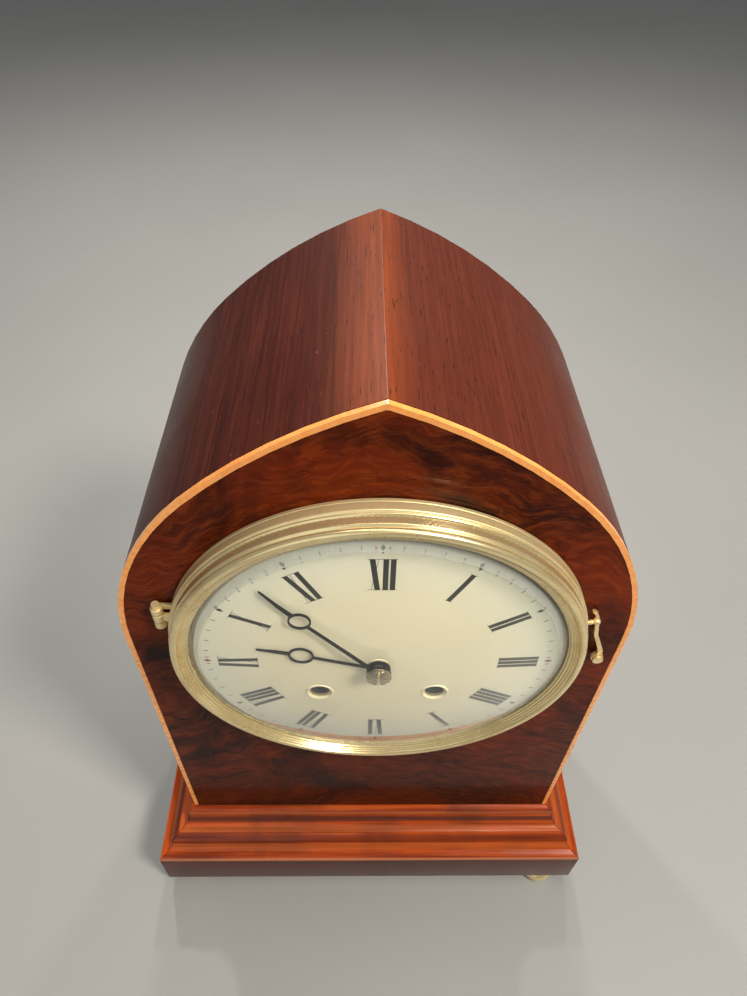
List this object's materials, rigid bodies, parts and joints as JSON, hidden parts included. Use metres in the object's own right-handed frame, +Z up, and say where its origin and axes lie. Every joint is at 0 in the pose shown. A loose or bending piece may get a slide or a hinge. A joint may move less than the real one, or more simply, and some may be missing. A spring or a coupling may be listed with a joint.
{
  "type": "mantel clock",
  "caption": "Lancet-shaped mahogany mantel clock with moulded plinth, brass bezel door, enamel dial, moon hands and a striking pendulum movement.",
  "frame": {"origin": "on the surface the clock stands on, under the centre of its bounding box", "axes": "+Z up, the dial faces -Y, +X to the right of someone looking at the dial"},
  "size_m": [0.2038, 0.1234, 0.2986],
  "materials": {
    "mahogany": "french polished",
    "flame_mahogany": "french polished, high gloss",
    "boxwood": "french polished",
    "moulded_mahogany": "french polished, high gloss",
    "carcase_wood": "plain",
    "polished_brass": "polished",
    "movement_brass": "satin",
    "steel": "ground",
    "blued_steel": "blued",
    "enamel": "glossy vitreous enamel",
    "bell_metal": "turned",
    "glass": "clear"
  },
  "bodies": {
    "case": {"shell_left": "mahogany", "shell_right": "mahogany", "front_veneer": "flame_mahogany", "front_board": "carcase_wood", "back_board": "mahogany", "bottom_board": "carcase_wood", "stringing_left": "boxwood", "stringing_right": "boxwood", "moulding_front": "moulded_mahogany", "moulding_left": "moulded_mahogany", "moulding_right": "moulded_mahogany", "plinth_core": "carcase_wood", "foot_front_left": "polished_brass", "foot_front_right": "polished_brass", "foot_back_left": "polished_brass", "foot_back_right": "polished_brass", "bezel_seat": "polished_brass", "hinge_pin": "polished_brass", "catch_screw": "polished_brass", "dial": "enamel", "front_plate": "movement_brass", "back_plate": "movement_brass", "pendulum_cock": "movement_brass", "bell": "bell_metal", "bell_stand": "movement_brass", "strap_left": "polished_brass", "strap_right": "polished_brass", "back_ring": "polished_brass", "back_hinge_pin": "polished_brass"},
    "bezel": {"bezel_door": "polished_brass", "bezel_glass": "glass", "glass_retainer": "polished_brass"},
    "catch": {"catch_hook": "polished_brass"},
    "centre_arbor": {"centre_wheel": "movement_brass", "cannon_pinion": "steel", "minute_hand": "blued_steel", "hand_nut": "polished_brass"},
    "hour_pipe": {"hour_wheel": "movement_brass", "hour_hand": "blued_steel"},
    "minute_wheel_body": {"minute_wheel": "movement_brass"},
    "intermediate": {"intermediate_wheel": "movement_brass"},
    "going_barrel_body": {"going_barrel": "movement_brass"},
    "third": {"third_wheel": "movement_brass"},
    "escape": {"escape_wheel": "movement_brass"},
    "going_winder": {"going_winding_arbor": "steel"},
    "strike_barrel_body": {"strike_barrel": "movement_brass"},
    "strike_pins": {"strike_pin_wheel": "movement_brass"},
    "strike_winder": {"strike_winding_arbor": "steel"},
    "pendulum": {"pendulum_rod": "steel", "pendulum_bob": "movement_brass"},
    "rating": {"rating_nut": "movement_brass"},
    "anchor": {"pallet_anchor": "steel"},
    "hammer_body": {"hammer": "steel"},
    "rear_door": {"back_door": "polished_brass", "back_glass": "glass"}
  },
  "joints": [
    {"name": "bezel_hinge", "type": "hinge", "parent": "case", "child": "bezel", "pos_m": [-0.0694, -0.0447, 0.1993], "axis": [0, 0, -1], "range_deg": [0, 100]},
    {"name": "catch_pivot", "type": "hinge", "parent": "case", "child": "catch", "pos_m": [0.0752, -0.0441, 0.1908], "axis": [0, 1, 0], "range_deg": [0, 40]},
    {"name": "minute_turn", "type": "hinge", "parent": "case", "child": "centre_arbor", "pos_m": [0, -0.0223, 0.1993], "axis": [0, 1, 0], "continuous": true},
    {"name": "hour_turn", "type": "hinge", "parent": "case", "child": "hour_pipe", "pos_m": [0, -0.0223, 0.1993], "axis": [0, 1, 0], "continuous": true},
    {"name": "minute_wheel_turn", "type": "hinge", "parent": "case", "child": "minute_wheel_body", "pos_m": [0, -0.0433, 0.1873], "axis": [0, 1, 0], "continuous": true},
    {"name": "intermediate_turn", "type": "hinge", "parent": "case", "child": "intermediate", "pos_m": [0.022, -0.0223, 0.2037], "axis": [0, 1, 0], "continuous": true},
    {"name": "going_barrel_turn", "type": "hinge", "parent": "case", "child": "going_barrel_body", "pos_m": [0.0195, -0.0223, 0.1815], "axis": [0, 1, 0], "continuous": true},
    {"name": "third_turn", "type": "hinge", "parent": "case", "child": "third", "pos_m": [0.0085, -0.0223, 0.2192], "axis": [0, 1, 0], "continuous": true},
    {"name": "escape_turn", "type": "hinge", "parent": "case", "child": "escape", "pos_m": [0, -0.0223, 0.2283], "axis": [0, 1, 0], "continuous": true},
    {"name": "going_winding", "type": "hinge", "parent": "case", "child": "going_winder", "pos_m": [0.0195, -0.0223, 0.1815], "axis": [0, 1, 0], "continuous": true},
    {"name": "strike_barrel_turn", "type": "hinge", "parent": "case", "child": "strike_barrel_body", "pos_m": [-0.0195, -0.0223, 0.1815], "axis": [0, 1, 0], "continuous": true},
    {"name": "strike_pin_wheel_turn", "type": "hinge", "parent": "case", "child": "strike_pins", "pos_m": [-0.022, -0.0223, 0.2037], "axis": [0, 1, 0], "continuous": true},
    {"name": "strike_winding", "type": "hinge", "parent": "case", "child": "strike_winder", "pos_m": [-0.0195, -0.0223, 0.1815], "axis": [0, 1, 0], "continuous": true},
    {"name": "pendulum_swing", "type": "hinge", "parent": "case", "child": "pendulum", "pos_m": [0, 0.0077, 0.2403], "axis": [0, 1, 0], "range_deg": [-4, 4]},
    {"name": "anchor_rock", "type": "hinge", "parent": "case", "child": "anchor", "pos_m": [0, -0.0223, 0.2403], "axis": [0, 1, 0], "range_deg": [-4, 4]},
    {"name": "rating_nut_turn", "type": "hinge", "parent": "pendulum", "child": "rating", "pos_m": [0, 0.0077, 0.1035], "axis": [0, 0, 1], "continuous": true},
    {"name": "hammer_lift", "type": "hinge", "parent": "case", "child": "hammer_body", "pos_m": [-0.034, 0.0187, 0.2193], "axis": [0, 1, 0], "range_deg": [0, 14]},
    {"name": "back_door_hinge", "type": "hinge", "parent": "case", "child": "rear_door", "pos_m": [0.0604, 0.0584, 0.1993], "axis": [0, 0, -1], "range_deg": [0, 100]}
  ],
  "couplings": [
    {"joint": "hour_turn", "follows": "minute_turn", "ratio": 0.083333},
    {"joint": "minute_wheel_turn", "follows": "minute_turn", "ratio": -0.33333},
    {"joint": "intermediate_turn", "follows": "minute_turn", "ratio": -0.33333},
    {"joint": "going_barrel_turn", "follows": "minute_turn", "ratio": 0.11111},
    {"joint": "third_turn", "follows": "minute_turn", "ratio": -3},
    {"joint": "escape_turn", "follows": "minute_turn", "ratio": 9},
    {"joint": "strike_pin_wheel_turn", "follows": "strike_barrel_turn", "ratio": -3},
    {"joint": "anchor_rock", "follows": "pendulum_swing", "ratio": 1}
  ]
}
